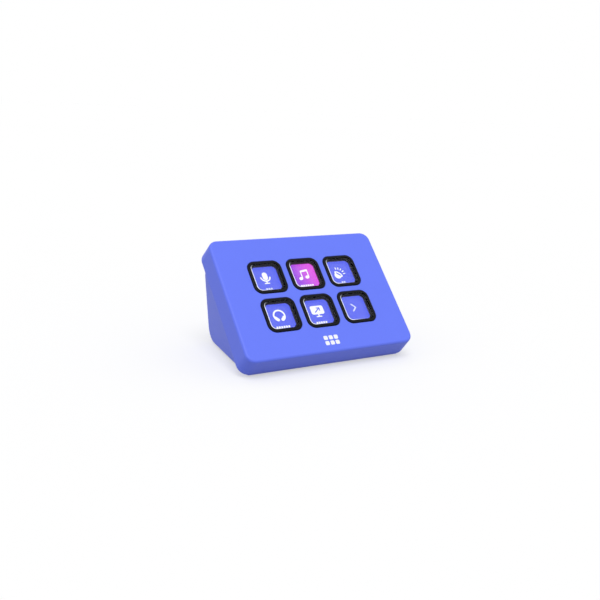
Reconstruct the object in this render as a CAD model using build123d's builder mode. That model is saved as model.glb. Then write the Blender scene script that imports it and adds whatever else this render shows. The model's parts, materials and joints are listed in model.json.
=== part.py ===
from build123d import *
import os
from math import cos, radians, sin, tan

# Six-key display keypad: a tilted slab with the keys in it, on a drafted wedge stand.
#
# Millimetres, +Z up. The keys face -Y and up, and +X is to the right of someone who uses them.
# The origin is on the desk, under the centre of the keypad's outline.
#
# "Depth" is always measured square to the face, inwards from it. "Slope" is measured up the
# face from its centre. The slab's own planes come from face_at(depth), whose local x is X and
# whose local y is the slope.

os.makedirs("parts", exist_ok=True)

# ---------------------------------------------------------------- driving dimensions

# Slab: the tilted front of the housing
tilt = 44.0  # face from the horizontal, degrees
slab_width = 84.0  # at its back edge
slab_length = 61.0  # up the slope, at its back edge
slab_depth = 11.0
slab_corner = 5.0
slab_flare = 3.4  # side walls from square to the face, degrees
face_edge_round = 1.1
slab_back_round = 1.3
slab_ground_gap = 0.3  # under the slab's lower back edge, to the stand's floor level
face_wall = 1.4
rim_wall = 2.0

# Wedge: the stand behind the slab
stand_reach = 58.3  # slab's lower front edge to the rear wall, at floor level
side_inset = 3.5  # slab's side to the wedge's side, where they meet
top_inset = 2.0
stand_top_depth = 10.3  # slab's back to the sharp upper rear corner
stand_draft = 9.0  # sides and top, from square to the face, degrees
rear_bottom_round = 6.8
rear_top_round = 5.5
stand_edge_round = 1.5
stand_wall = 2.0
floor_wall = 2.6
flange_depth = 2.0  # plate that plugs the back of the slab
housing_gap = 0.15

# Hooks on the flange's upper edge, in pockets of the slab's upper wall
hook_width = 7.0
hook_spread = 44.0
hook_reach = 0.9
hook_height = 1.1
hook_gap = 0.2

# Keys
columns = 3
rows = 2
key_side_margin = 13.5  # slab's side to the cell of the nearest key
opening_web = 2.5  # left between two openings
opening_corner = 3.8
opening_edge_round = 0.25
key_gap = 0.2  # between a key and its opening, each side
key_proud = 0.35
key_travel = 0.9
key_flange_reach = 0.9  # past the key's side, under the face wall
key_flange_height = 0.5
key_edge_round = 0.35
ring_width = 1.3  # the frame's visible border
sight_ledge = 0.5  # reach of the ledge that carries the cap, round the display's square
sight_corner = 2.8  # of that square
sight_ledge_depth = 0.9  # of that ledge, below the face
cap_gap = 0.04
cap_edge_round = 0.3
cap_dish_radius = 160.0
cap_below_ring = 0.04  # the cap's corners, below the top of the ring
stop_gap = 0.05
press_clearance = 0.1  # left over at full travel

# Silicone dome mat, contact membrane and display, stacked under the keys
pack_side_border = 1.5  # past the keys' cells
pack_end_border = 2.0
pack_corner = 1.0
mat_sheet = 0.2
mat_window_gap = 0.4  # window past the display's square, each side
dome_reach = 0.25  # foot of a dome past its key, each side
dome_draft = 14.0  # degrees
membrane_thickness = 0.15
glass_thickness = 1.2
tray_wall = 0.4
tray_gap = 0.15
tray_lip_drop = 0.3  # tray's side walls stop short of the membrane
clamp_rib_gap = 0.6  # clamping rib to the outermost key flanges
tray_window_border = 5.0  # window to the display's side
tray_window_length = 30.0
tray_window_corner = 2.0
window_rib = 6.0  # between the tray's two windows

# Support frame, which clamps the display stack to the slab
frame_thickness = 1.5
frame_edge_gap = 1.0
frame_flange_gap = 1.0  # to the flange behind it
frame_screw_gap = 0.65  # screw's boss to the tray
frame_screw_inset = 3.0  # inside the display's ends
frame_window_extra = 1.0  # window past the tray's, each side
frame_window_length = 28.0
frame_window_corner = 2.0
tail_slot_length = 2.4
tail_slot_width = 38.0
boss_radius = 2.6

# Lugs of the support frame, which the screws from under the foot pad pull down on
lug_width = 9.0
lug_side_margin = 16.0  # slab's side to the lug's middle
lug_behind_screw = 4.0
lug_height = 5.0
lug_clear = 1.2  # lug to the flange window's lower edge
floor_boss_height = 1.0

# Screws
screw_radius = 1.0
screw_head_radius = 1.9
screw_head_height = 1.2
screw_head_edge = 0.3
screw_fit = 0.05
cross_length = 2.2
cross_width = 0.5
cross_depth = 0.6
frame_screw_length = 5.0
case_screw_length = 5.0
board_screw_length = 5.0
ballast_screw_length = 4.0
pilot_extra = 0.6  # pilot hole past the end of its screw
case_screw_behind_edge = 17.0  # slab's lower front edge to the screws, along the desk

# Foot pad
foot_proud = 0.7
foot_recess = 0.9
foot_side_margin = 11.0  # slab's side to the pad
foot_front_margin = 13.0  # slab's lower front edge to the pad, along the desk
foot_rear_margin = 10.3  # pad to the rear wall
foot_corner = 4.0
foot_gap = 0.15
foot_edge_round = 0.4

# Ballast plate on the stand's floor
ballast_side_margin = 14.0  # slab's side to the plate
ballast_lug_gap = 1.5  # behind the lugs
ballast_connector_gap = 0.8  # in front of the connectors
ballast_thickness = 4.0
ballast_corner = 3.0
ballast_post_radius = 2.3
ballast_post_inset = 6.0  # inside the plate's sides
ballast_fit = 0.2

# USB-C socket in the rear wall
socket_above_floor = 11.5
socket_width = 8.94
socket_height = 3.2
socket_wall = 0.31
socket_set_back = 0.3  # mouth behind the outer surface
socket_length = 7.4  # main board to the mouth
socket_opening_gap = 0.2
tongue_width = 6.7
tongue_thickness = 0.7
tongue_set_back = 0.6
tongue_base = 2.4
port_recess_width = 12.6
port_recess_height = 6.9
port_recess_depth = 0.8

# Main board, parallel to the rear wall
board_width = 48.0
board_height = 20.0
board_thickness = 1.6
board_above_socket = 5.0  # board's centre above the socket's
board_corner = 1.0
board_hole_inset = 2.6
standoff_radius = 2.4
controller_size = 9.0
controller_thickness = 1.2
controller_across = -11.0
controller_up = 4.6
memory_width = 5.2
memory_length = 6.0
memory_thickness = 1.5
memory_across = 4.0
memory_up = 5.2
crystal_width = 3.2
crystal_length = 5.0
crystal_thickness = 1.1
crystal_across = 12.0
crystal_up = 5.0
capacitor_width = 1.6
capacitor_length = 0.9
capacitor_thickness = 0.9
capacitor_pitch = 2.4
capacitor_count = 4
capacitor_across = -11.0
capacitor_up = -1.6

# Ribbons and their connectors on the main board
ribbon_thickness = 0.3
display_tail_width = 16.0
display_tail_across = -6.0
key_tail_width = 8.0
key_tail_across = 13.0
ribbon_bend = 1.2
connector_border = 1.6  # connector past its ribbon, each side
connector_height = 3.2
connector_depth = 3.0
connector_up = -5.6
ribbon_seat = 1.8  # ribbon inside its connector
ribbon_lead = 2.0  # straight part in front of the connector
ribbon_rise = 2.2  # length along the desk of the rise to that part
ribbon_lift = 0.4  # over the ballast's screws
ribbon_slot_gap = 0.1
tail_drop = 1.6  # tails past the display's lower edge

# ---------------------------------------------------------------- shared frames and depths

tilt_sin = sin(radians(tilt))
tilt_cos = cos(radians(tilt))
face_normal = Vector(0, -tilt_sin, tilt_cos)
slope_direction = Vector(0, tilt_cos, tilt_sin)
face_axis = Axis((0, 0, 0), face_normal)

# Heights and reaches of the outline, from the slab's sharp lower front edge
flare_inset = slab_depth * tan(radians(slab_flare))
slab_low_point = -slab_depth * tilt_cos + slab_back_round * (tilt_sin + tilt_cos - 1)
floor_below_edge = slab_ground_gap - slab_low_point
front_reach = flare_inset * tilt_cos + face_edge_round * (tilt_cos + tilt_sin - 1)
slab_top = slope_direction * (slab_length - top_inset) - face_normal * slab_depth
stand_drop = slope_direction * -tan(radians(stand_draft)) - face_normal
rear_top = slab_top + stand_drop * stand_top_depth
lean_tan = (stand_reach - rear_top.Y) / (rear_top.Z + floor_below_edge)
lean_cos = 1 / (1 + lean_tan**2) ** 0.5
lean_sin = lean_tan * lean_cos
rear_reach = stand_reach - rear_bottom_round * (lean_tan + 1 / lean_cos - 1)

# The slab's sharp lower front edge, and the stand's floor level, in the model
edge_y = -(front_reach + rear_reach) / 2
edge_z = foot_proud + floor_below_edge
floor_z = foot_proud
lower_edge = Vector(0, edge_y, edge_z)
face_centre = lower_edge + slope_direction * (slab_length / 2)
face_plane = Plane(origin=face_centre, x_dir=(1, 0, 0), z_dir=face_normal)

# Keys
key_pitch = (slab_width - 2 * key_side_margin) / columns
key_opening = key_pitch - opening_web
key_width = key_opening - 2 * key_gap
key_corner = opening_corner - key_gap
cap_width = key_width - 2 * ring_width
cap_corner = key_corner - ring_width
sight_width = cap_width - 2 * sight_ledge
key_flange_width = key_width + 2 * key_flange_reach

# Display stack and support frame
pack_width = columns * key_pitch + 2 * pack_side_border
pack_length = rows * key_pitch + 2 * pack_end_border
mat_window = sight_width + 2 * mat_window_gap
dome_width = key_width + 2 * dome_reach
tray_width = pack_width + 2 * (tray_gap + tray_wall)
tray_length = pack_length + 2 * (tray_gap + tray_wall)
tray_window_width = (pack_width - window_rib) / 2 - tray_window_border
window_pitch = tray_window_width + window_rib
frame_window_width = tray_window_width + 2 * frame_window_extra
frame_screw_across = tray_width + 2 * (boss_radius + frame_screw_gap)
frame_screw_along = pack_length - 2 * frame_screw_inset

# Depths of the stack under the face
flange_front = slab_depth - flange_depth
flange_top = face_wall + stop_gap
flange_bottom = flange_top + key_flange_height
mat_top = flange_bottom + key_travel + press_clearance
mat_bottom = mat_top + mat_sheet
glass_top = mat_bottom + membrane_thickness
glass_bottom = glass_top + glass_thickness
frame_back = flange_front - frame_flange_gap
tray_back = frame_back - frame_thickness
backlight_bottom = tray_back - tray_wall
cap_bottom = glass_top - key_travel - press_clearance

# Fasteners
pilot_radius = screw_radius + screw_fit
head_hole_radius = screw_head_radius + screw_fit

# Main board, and what stands on the floor in front of it
board_outer_depth = socket_set_back + socket_length
board_inner_depth = board_outer_depth + board_thickness
foot_width = slab_width - 2 * foot_side_margin
foot_length = stand_reach - foot_front_margin - foot_rear_margin
ballast_front = case_screw_behind_edge + lug_behind_screw + ballast_lug_gap
ballast_width = slab_width - 2 * ballast_side_margin


def face_at(depth):
    """Plane parallel to the face, the given depth behind it."""
    return face_plane.offset(-depth)


def facing_back(depth):
    """The same plane turned over, so that it looks out of the back."""
    return Plane(origin=face_at(depth).origin, x_dir=(1, 0, 0), z_dir=-face_normal)


def face_point(slope, depth):
    """Point of the mid plane at a slope from the face's centre and a depth, as (Y, Z)."""
    point = face_centre + slope_direction * slope - face_normal * depth
    return (point.Y, point.Z)


def crossing(line, other):
    """Where two lines of the mid plane cross, as (Y, Z)."""
    point = line.intersect(other)
    return (point.Y, point.Z)


def line_through(point, direction):
    """Line of the mid plane through a (Y, Z) point."""
    return Axis((0, *point), (0, *direction))


# The wedge's outline in the mid plane, each line moved inwards by an inset
slab_half = slab_length / 2
rear_bottom = (edge_y + stand_reach, floor_z)


def floor_line(inset):
    """Top of a floor of the given thickness."""
    return line_through((edge_y, floor_z + inset), (1, 0))


def rear_line(inset):
    """Rear wall's surface, moved forward."""
    y, z = rear_bottom
    return line_through((y - inset / lean_cos, z), (-lean_tan, 1))


def top_line(inset):
    """Drafted upper surface of the wedge, moved down."""
    start = face_point(slab_half - top_inset - inset, slab_depth)
    return line_through(start, (stand_drop.Y, stand_drop.Z))


slab_back_line = line_through(
    face_point(0, slab_depth), (slope_direction.Y, slope_direction.Z)
)


def slab_prism(inset, front, back):
    """Flared block with the slab's outline moved in by inset, between two depths."""
    shrink = inset + (slab_depth - back) * tan(radians(slab_flare))
    with BuildPart() as prism:
        with BuildSketch(face_at(back)):
            RectangleRounded(slab_width - 2 * shrink, slab_length - 2 * shrink, slab_corner - shrink)
        extrude(amount=back - front, taper=slab_flare)
    return prism.part


def wedge_block(inset, floor_inset):
    """Drafted wedge behind the slab, with its walls and its floor moved in."""
    rear_bottom_corner = crossing(floor_line(floor_inset), rear_line(inset))
    rear_top_corner = crossing(rear_line(inset), top_line(inset))
    with BuildPart() as wedge:
        with BuildSketch(Plane.YZ) as outline:
            with BuildLine():
                Polyline(
                    crossing(slab_back_line, floor_line(floor_inset)),
                    rear_bottom_corner,
                    rear_top_corner,
                    crossing(top_line(inset), slab_back_line),
                    close=True,
                )
            make_face()
            fillet(outline.vertices().sort_by_distance(rear_bottom_corner)[0], rear_bottom_round - inset)
            fillet(outline.vertices().sort_by_distance(rear_top_corner)[0], rear_top_round - inset)
        extrude(amount=slab_width / 2, both=True)
        with BuildSketch(facing_back(slab_depth)):
            Rectangle(slab_width - 2 * (side_inset + inset), 2 * slab_length)
        extrude(amount=stand_reach, taper=stand_draft, mode=Mode.INTERSECT)
    return wedge.part


def screw_set(seat, spots, length):
    """Pan-head screws with a cross recess, their heads standing on the seat plane."""
    with BuildPart() as screws:
        with BuildSketch(seat):
            with Locations(*spots):
                Circle(screw_head_radius)
        extrude(amount=screw_head_height)
        head_tops = screws.faces().group_by(Axis(seat.origin, seat.z_dir))[-1]
        fillet(head_tops.edges(), screw_head_edge)
        with BuildSketch(seat):
            with Locations(*spots):
                Circle(screw_radius)
        extrude(amount=-length)
        with BuildSketch(seat.offset(screw_head_height)):
            with Locations(*spots):
                Rectangle(cross_length, cross_width)
                Rectangle(cross_width, cross_length)
        extrude(amount=-cross_depth, mode=Mode.SUBTRACT)
    return screws.part


def corner_spots(across, along):
    """Corners of a rectangle about a plane's origin."""
    return [(side * across / 2, end * along / 2) for side in (-1, 1) for end in (-1, 1)]


# ---------------------------------------------------------------- front housing

boss_depth = tray_back - face_wall
frame_spots = corner_spots(frame_screw_across, frame_screw_along)
key_field_width = (columns - 1) * key_pitch + key_flange_width
key_field_length = (rows - 1) * key_pitch + key_flange_width
flange_edge = slab_half - rim_wall - housing_gap - flange_depth * tan(radians(slab_flare))

with BuildPart() as front_shell:
    add(slab_prism(0, 0, slab_depth))
    fillet(front_shell.faces().sort_by(face_axis)[-1].edges(), face_edge_round)
    fillet(front_shell.faces().sort_by(face_axis)[0].edges(), slab_back_round)
    add(slab_prism(rim_wall, face_wall, slab_depth), mode=Mode.SUBTRACT)
    with BuildSketch(face_at(0)):
        with GridLocations(key_pitch, key_pitch, columns, rows):
            RectangleRounded(key_opening, key_opening, opening_corner)
    extrude(amount=-face_wall, mode=Mode.SUBTRACT)
    opening_edges = front_shell.faces().sort_by(face_axis)[-1].inner_wires().edges()
    fillet(opening_edges, opening_edge_round)
    # Rib that clamps the border of the dome mat
    with BuildSketch(face_at(face_wall)):
        RectangleRounded(pack_width, pack_length, pack_corner)
        Rectangle(
            key_field_width + 2 * clamp_rib_gap,
            key_field_length + 2 * clamp_rib_gap,
            mode=Mode.SUBTRACT,
        )
    extrude(amount=-(mat_top - face_wall))
    # Bosses for the support frame
    with BuildSketch(face_at(face_wall)):
        with Locations(*frame_spots):
            Circle(boss_radius)
    extrude(amount=-boss_depth)
    with BuildSketch(face_at(tray_back)):
        with Locations(*frame_spots):
            Circle(pilot_radius)
    extrude(amount=frame_screw_length - frame_thickness + pilot_extra, mode=Mode.SUBTRACT)
    # Pockets for the rear housing's hooks
    with BuildSketch(face_at(flange_front - hook_gap)):
        with Locations(*[(side * hook_spread / 2, flange_edge) for side in (-1, 1)]):
            Rectangle(hook_width + 2 * hook_gap, 2 * (hook_reach + hook_gap))
    extrude(amount=-(hook_height + 2 * hook_gap), mode=Mode.SUBTRACT)
front_shell.part.label = "front_shell"
export_step(front_shell.part, "parts/front_shell.step")

# ---------------------------------------------------------------- keys


def key_point(x, slope, height):
    """Point over a key, at a height above the face."""
    return face_centre + Vector(x, 0, 0) + slope_direction * slope + face_normal * height


def key_frame(x, slope):
    """Border of one key, with the flange that keeps it in its opening."""
    with BuildPart() as frame:
        with BuildSketch(face_at(-key_proud)):
            with Locations((x, slope)):
                RectangleRounded(key_width, key_width, key_corner)
        extrude(amount=-(key_proud + flange_bottom))
        fillet(frame.faces().sort_by(face_axis)[-1].edges(), key_edge_round)
        with BuildSketch(face_at(flange_top)):
            with Locations((x, slope)):
                RectangleRounded(key_flange_width, key_flange_width, key_corner + key_flange_reach)
        extrude(amount=-key_flange_height)
        with BuildSketch(face_at(-key_proud)):
            with Locations((x, slope)):
                RectangleRounded(cap_width + 2 * cap_gap, cap_width + 2 * cap_gap, cap_corner + cap_gap)
        extrude(amount=-(key_proud + sight_ledge_depth), mode=Mode.SUBTRACT)
        with BuildSketch(face_at(sight_ledge_depth)):
            with Locations((x, slope)):
                RectangleRounded(sight_width, sight_width, sight_corner)
        extrude(amount=-(flange_bottom - sight_ledge_depth), mode=Mode.SUBTRACT)
    return frame.part


def key_cap(x, slope):
    """Clear dished cap that stands on the frame's ledge and reaches down to the display."""
    cap_top = key_proud - cap_below_ring
    corner_reach = (cap_width / 2 - cap_corner) * 2**0.5 + cap_corner
    dish_rise = (cap_dish_radius**2 - corner_reach**2) ** 0.5
    lower_width = sight_width - 2 * cap_gap
    with BuildPart() as cap:
        with BuildSketch(face_at(-cap_top)):
            with Locations((x, slope)):
                RectangleRounded(cap_width, cap_width, cap_corner)
        extrude(amount=-(cap_top + sight_ledge_depth))
        with Locations(key_point(x, slope, cap_top + dish_rise)):
            Sphere(cap_dish_radius, mode=Mode.SUBTRACT)
        fillet(cap.faces().filter_by(GeomType.SPHERE).edges(), cap_edge_round)
        with BuildSketch(face_at(sight_ledge_depth)):
            with Locations((x, slope)):
                RectangleRounded(lower_width, lower_width, sight_corner - cap_gap)
        extrude(amount=-(cap_bottom - sight_ledge_depth))
    return cap.part


for row in range(rows):
    for column in range(columns):
        key_number = row * columns + column + 1
        key_x = (column - (columns - 1) / 2) * key_pitch
        key_slope = ((rows - 1) / 2 - row) * key_pitch
        key_bezel = key_frame(key_x, key_slope)
        key_bezel.label = f"key_bezel_{key_number}"
        export_step(key_bezel, f"parts/key_bezel_{key_number}.step")
        key_lens = key_cap(key_x, key_slope)
        key_lens.label = f"key_lens_{key_number}"
        export_step(key_lens, f"parts/key_lens_{key_number}.step")

# ---------------------------------------------------------------- dome mat

with BuildPart() as dome_mat:
    with BuildSketch(face_at(mat_bottom)):
        RectangleRounded(pack_width, pack_length, pack_corner)
    extrude(amount=mat_sheet)
    with BuildSketch(face_at(mat_top)):
        with GridLocations(key_pitch, key_pitch, columns, rows):
            RectangleRounded(dome_width, dome_width, key_corner)
    extrude(amount=mat_top - flange_bottom - stop_gap, taper=dome_draft)
    with BuildSketch(face_at(mat_bottom)):
        with GridLocations(key_pitch, key_pitch, columns, rows):
            RectangleRounded(mat_window, mat_window, sight_corner)
    extrude(amount=mat_bottom, mode=Mode.SUBTRACT)
dome_mat.part.label = "dome_mat"
export_step(dome_mat.part, "parts/dome_mat.step")

# ---------------------------------------------------------------- main board's place

port_centre = Vector(0, rear_bottom[0] - lean_tan * socket_above_floor, floor_z + socket_above_floor)
rear_normal = Vector(0, lean_cos, lean_sin)
rear_plane = Plane(origin=port_centre, x_dir=(-1, 0, 0), z_dir=rear_normal)
board_spots = [
    (x, y + board_above_socket)
    for x, y in corner_spots(board_width - 2 * board_hole_inset, board_height - 2 * board_hole_inset)
]


def behind_rear(depth):
    """Plane parallel to the rear wall, the given depth inside it."""
    return rear_plane.offset(-depth)


def connector_point(depth):
    """Point of the mid plane on the connectors' line, a depth behind the rear wall's surface."""
    rise = board_above_socket + connector_up
    up_the_wall = Vector(0, -lean_sin, lean_cos)
    point = port_centre + up_the_wall * rise - rear_normal * depth
    return (point.Y, point.Z)


# ---------------------------------------------------------------- contact membrane and ribbons

tail_slope = -pack_length / 2 - tail_drop
ribbon_end = board_inner_depth + connector_depth - ribbon_seat
connector_front = connector_point(board_inner_depth + connector_depth)
lead_start = connector_point(board_inner_depth + connector_depth + ribbon_lead)
ballast_front_y = edge_y + ballast_front
ballast_length = connector_front[0] - ballast_connector_gap - ballast_front_y
ribbon_z = floor_z + floor_wall + ballast_thickness + screw_head_height + ribbon_lift


def tail_path(start_slope, depth):
    """Route of a flat tail, from the display stack over the ballast to its connector."""
    return [
        face_point(start_slope, depth),
        face_point(tail_slope, depth),
        face_point(tail_slope, slab_depth),
        (ballast_front_y, ribbon_z),
        (lead_start[0] - ribbon_rise, ribbon_z),
        lead_start,
        connector_point(ribbon_end),
    ]


with BuildPart() as contact_membrane:
    with BuildSketch(face_at(glass_top)):
        RectangleRounded(pack_width, pack_length, pack_corner)
        with GridLocations(key_pitch, key_pitch, columns, rows):
            RectangleRounded(mat_window, mat_window, sight_corner, mode=Mode.SUBTRACT)
    extrude(amount=membrane_thickness)
    with BuildSketch(Plane.YZ.offset(key_tail_across)):
        with BuildLine():
            FilletPolyline(
                *tail_path(tail_slope + tail_drop + pack_corner, glass_top - membrane_thickness / 2),
                radius=ribbon_bend,
            )
        trace(line_width=membrane_thickness)
    extrude(amount=key_tail_width / 2, both=True)
contact_membrane.part.label = "contact_membrane"
export_step(contact_membrane.part, "parts/contact_membrane.step")

with BuildPart() as display_ribbon:
    with BuildSketch(Plane.YZ.offset(display_tail_across)):
        with BuildLine():
            FilletPolyline(
                *tail_path(tail_slope + tail_drop, (glass_top + glass_bottom) / 2),
                radius=ribbon_bend,
            )
        trace(line_width=ribbon_thickness)
    extrude(amount=display_tail_width / 2, both=True)
display_ribbon.part.label = "display_ribbon"
export_step(display_ribbon.part, "parts/display_ribbon.step")

# ---------------------------------------------------------------- display

with BuildPart() as display_glass:
    with BuildSketch(face_at(glass_bottom)):
        Rectangle(pack_width, pack_length)
    extrude(amount=glass_thickness)
display_glass.part.label = "display_glass"
export_step(display_glass.part, "parts/display_glass.step")

with BuildPart() as display_backlight:
    with BuildSketch(face_at(backlight_bottom)):
        Rectangle(pack_width, pack_length)
    extrude(amount=backlight_bottom - glass_bottom)
display_backlight.part.label = "display_backlight"
export_step(display_backlight.part, "parts/display_backlight.step")

tray_lip = glass_top + tray_lip_drop
tail_notch_width = display_tail_width + 2 * tray_wall
with BuildPart() as display_tray:
    with BuildSketch(face_at(tray_back)):
        Rectangle(tray_width, tray_length)
    extrude(amount=tray_back - tray_lip)
    with BuildSketch(face_at(backlight_bottom)):
        Rectangle(pack_width + 2 * tray_gap, pack_length + 2 * tray_gap)
    extrude(amount=backlight_bottom - tray_lip, mode=Mode.SUBTRACT)
    with BuildSketch(face_at(tray_back)):
        with GridLocations(window_pitch, 0, 2, 1):
            RectangleRounded(tray_window_width, tray_window_length, tray_window_corner)
    extrude(amount=tray_wall, mode=Mode.SUBTRACT)
    with BuildSketch(face_at(glass_bottom)):
        with Locations((display_tail_across, -pack_length / 2)):
            Rectangle(tail_notch_width, 2 * tail_drop)
    extrude(amount=glass_bottom - tray_lip, mode=Mode.SUBTRACT)
display_tray.part.label = "display_tray"
export_step(display_tray.part, "parts/display_tray.step")

# ---------------------------------------------------------------- support frame

window_low = (
    Vector(0, *crossing(slab_back_line, floor_line(floor_wall))) - Vector(0, *face_point(0, slab_depth))
).dot(slope_direction)
window_high = slab_half - top_inset - stand_wall
lug_low = window_low + lug_clear
screw_y = edge_y + case_screw_behind_edge
lug_z = floor_z + floor_wall + floor_boss_height
lug_underside = line_through((screw_y, lug_z), (1, 0))
lug_front = line_through(face_point(lug_low, frame_back), (tilt_sin, -tilt_cos))
lug_top = line_through((screw_y, lug_z + lug_height), (1, 0))
frame_back_line = line_through(face_point(0, frame_back), (tilt_cos, tilt_sin))
lug_across = slab_width - 2 * lug_side_margin
case_spots = [(side * lug_across / 2, 0) for side in (-1, 1)]
case_seat_z = floor_z + foot_recess + screw_head_height + foot_gap

with BuildPart() as support_frame:
    add(slab_prism(rim_wall + frame_edge_gap, tray_back, frame_back))
    with BuildSketch(face_at(tray_back)):
        with GridLocations(window_pitch, 0, 2, 1):
            RectangleRounded(frame_window_width, frame_window_length, frame_window_corner)
        with Locations((0, tail_slope)):
            Rectangle(tail_slot_width, tail_slot_length)
        with Locations(*frame_spots):
            Circle(pilot_radius)
    extrude(amount=-frame_thickness, mode=Mode.SUBTRACT)
    for side in (-1, 1):
        with BuildSketch(Plane.YZ.offset(side * lug_across / 2)):
            with BuildLine():
                Polyline(
                    face_point(lug_low, frame_back),
                    crossing(lug_front, lug_underside),
                    (screw_y + lug_behind_screw, lug_z),
                    (screw_y + lug_behind_screw, lug_z + lug_height),
                    crossing(lug_top, frame_back_line),
                    close=True,
                )
            make_face()
        extrude(amount=lug_width / 2, both=True)
    with BuildSketch(Plane((0, screw_y, lug_z))):
        with Locations(*case_spots):
            Circle(pilot_radius)
    extrude(amount=lug_height - screw_fit, mode=Mode.SUBTRACT)
support_frame.part.label = "support_frame"
export_step(support_frame.part, "parts/support_frame.step")

frame_screws = screw_set(facing_back(frame_back), frame_spots, frame_screw_length)
frame_screws.label = "frame_screws"
export_step(frame_screws, "parts/frame_screws.step")

# ---------------------------------------------------------------- rear housing

ballast_y = ballast_front_y + ballast_length / 2
ballast_post_across = ballast_width - 2 * ballast_post_inset
ballast_spots = [(side * ballast_post_across / 2, 0) for side in (-1, 1)]
inner_floor_z = floor_z + floor_wall
foot_y = edge_y + foot_front_margin + foot_length / 2
case_boss_radius = head_hole_radius + stand_wall / 2

with BuildPart() as rear_shell:
    add(wedge_block(0, 0))
    stand_sides = rear_shell.faces().sort_by(Axis.X)
    stand_mouth = rear_shell.faces().sort_by(face_axis)[-1]
    side_edges = stand_sides[0].edges() + stand_sides[-1].edges()
    fillet(side_edges - stand_mouth.edges(), stand_edge_round)
    add(slab_prism(rim_wall + housing_gap, flange_front, slab_depth))
    with BuildSketch(face_at(flange_front)):
        with Locations(*[(side * hook_spread / 2, flange_edge) for side in (-1, 1)]):
            Rectangle(hook_width, 2 * hook_reach)
    extrude(amount=-hook_height)
    add(wedge_block(stand_wall, floor_wall), mode=Mode.SUBTRACT)
    with BuildSketch(face_at(flange_front)):
        with Locations((0, (window_low + window_high) / 2)):
            Rectangle(slab_width - 2 * (side_inset + stand_wall), window_high - window_low)
    extrude(amount=-flange_depth, mode=Mode.SUBTRACT)
    # Standoffs for the main board
    with BuildSketch(behind_rear(stand_wall)):
        with Locations(*board_spots):
            Circle(standoff_radius)
    extrude(amount=-(board_outer_depth - stand_wall))
    with BuildSketch(behind_rear(board_outer_depth)):
        with Locations(*board_spots):
            Circle(pilot_radius)
    extrude(amount=board_screw_length - board_thickness + pilot_extra, mode=Mode.SUBTRACT)
    # Posts for the ballast, bosses for the case screws
    with BuildSketch(Plane((0, ballast_y, inner_floor_z))):
        with Locations(*ballast_spots):
            Circle(ballast_post_radius)
    extrude(amount=ballast_thickness)
    with BuildSketch(Plane((0, ballast_y, inner_floor_z + ballast_thickness))):
        with Locations(*ballast_spots):
            Circle(pilot_radius)
    extrude(amount=-(ballast_screw_length + pilot_extra), mode=Mode.SUBTRACT)
    with BuildSketch(Plane((0, screw_y, inner_floor_z))):
        with Locations(*case_spots):
            Circle(case_boss_radius)
    extrude(amount=floor_boss_height)
    with BuildSketch(Plane((0, screw_y, floor_z))):
        with Locations(*case_spots):
            Circle(head_hole_radius)
    extrude(amount=case_seat_z - floor_z, mode=Mode.SUBTRACT)
    with BuildSketch(Plane((0, screw_y, floor_z))):
        with Locations(*case_spots):
            Circle(pilot_radius)
    extrude(amount=lug_z - floor_z, mode=Mode.SUBTRACT)
    # Recess for the foot pad
    with BuildSketch(Plane((0, foot_y, floor_z))):
        RectangleRounded(foot_width + 2 * foot_gap, foot_length + 2 * foot_gap, foot_corner + foot_gap)
    extrude(amount=foot_recess, mode=Mode.SUBTRACT)
    # Port for the USB plug
    with BuildSketch(rear_plane):
        SlotOverall(port_recess_width, port_recess_height)
    extrude(amount=-port_recess_depth, mode=Mode.SUBTRACT)
    with BuildSketch(rear_plane):
        SlotOverall(socket_width + 2 * socket_opening_gap, socket_height + 2 * socket_opening_gap)
    extrude(amount=-(stand_wall + socket_opening_gap), mode=Mode.SUBTRACT)
rear_shell.part.label = "rear_shell"
export_step(rear_shell.part, "parts/rear_shell.step")

case_screws = screw_set(
    Plane(origin=(0, screw_y, case_seat_z), x_dir=(1, 0, 0), z_dir=(0, 0, -1)),
    case_spots,
    case_screw_length,
)
case_screws.label = "case_screws"
export_step(case_screws, "parts/case_screws.step")

with BuildPart() as foot_pad:
    with BuildSketch(Plane((0, foot_y, 0))):
        RectangleRounded(foot_width, foot_length, foot_corner)
    extrude(amount=foot_proud + foot_recess)
    fillet(foot_pad.faces().sort_by(Axis.Z)[0].edges(), foot_edge_round)
foot_pad.part.label = "foot_pad"
export_step(foot_pad.part, "parts/foot_pad.step")

# ---------------------------------------------------------------- ballast

with BuildPart() as ballast_plate:
    with BuildSketch(Plane((0, ballast_y, inner_floor_z))):
        RectangleRounded(ballast_width, ballast_length, ballast_corner)
        with Locations(*ballast_spots):
            Circle(ballast_post_radius + ballast_fit, mode=Mode.SUBTRACT)
    extrude(amount=ballast_thickness)
ballast_plate.part.label = "ballast_plate"
export_step(ballast_plate.part, "parts/ballast_plate.step")

ballast_screws = screw_set(
    Plane((0, ballast_y, inner_floor_z + ballast_thickness)), ballast_spots, ballast_screw_length
)
ballast_screws.label = "ballast_screws"
export_step(ballast_screws, "parts/ballast_screws.step")

# ---------------------------------------------------------------- main board and what it carries

with BuildPart() as main_board:
    with BuildSketch(behind_rear(board_outer_depth)):
        with Locations((0, board_above_socket)):
            RectangleRounded(board_width, board_height, board_corner)
        with Locations(*board_spots):
            Circle(pilot_radius, mode=Mode.SUBTRACT)
    extrude(amount=-board_thickness)
main_board.part.label = "main_board"
export_step(main_board.part, "parts/main_board.step")

board_screws = screw_set(
    Plane(origin=behind_rear(board_inner_depth).origin, x_dir=(1, 0, 0), z_dir=-rear_normal),
    board_spots,
    board_screw_length,
)
board_screws.label = "board_screws"
export_step(board_screws, "parts/board_screws.step")

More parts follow.
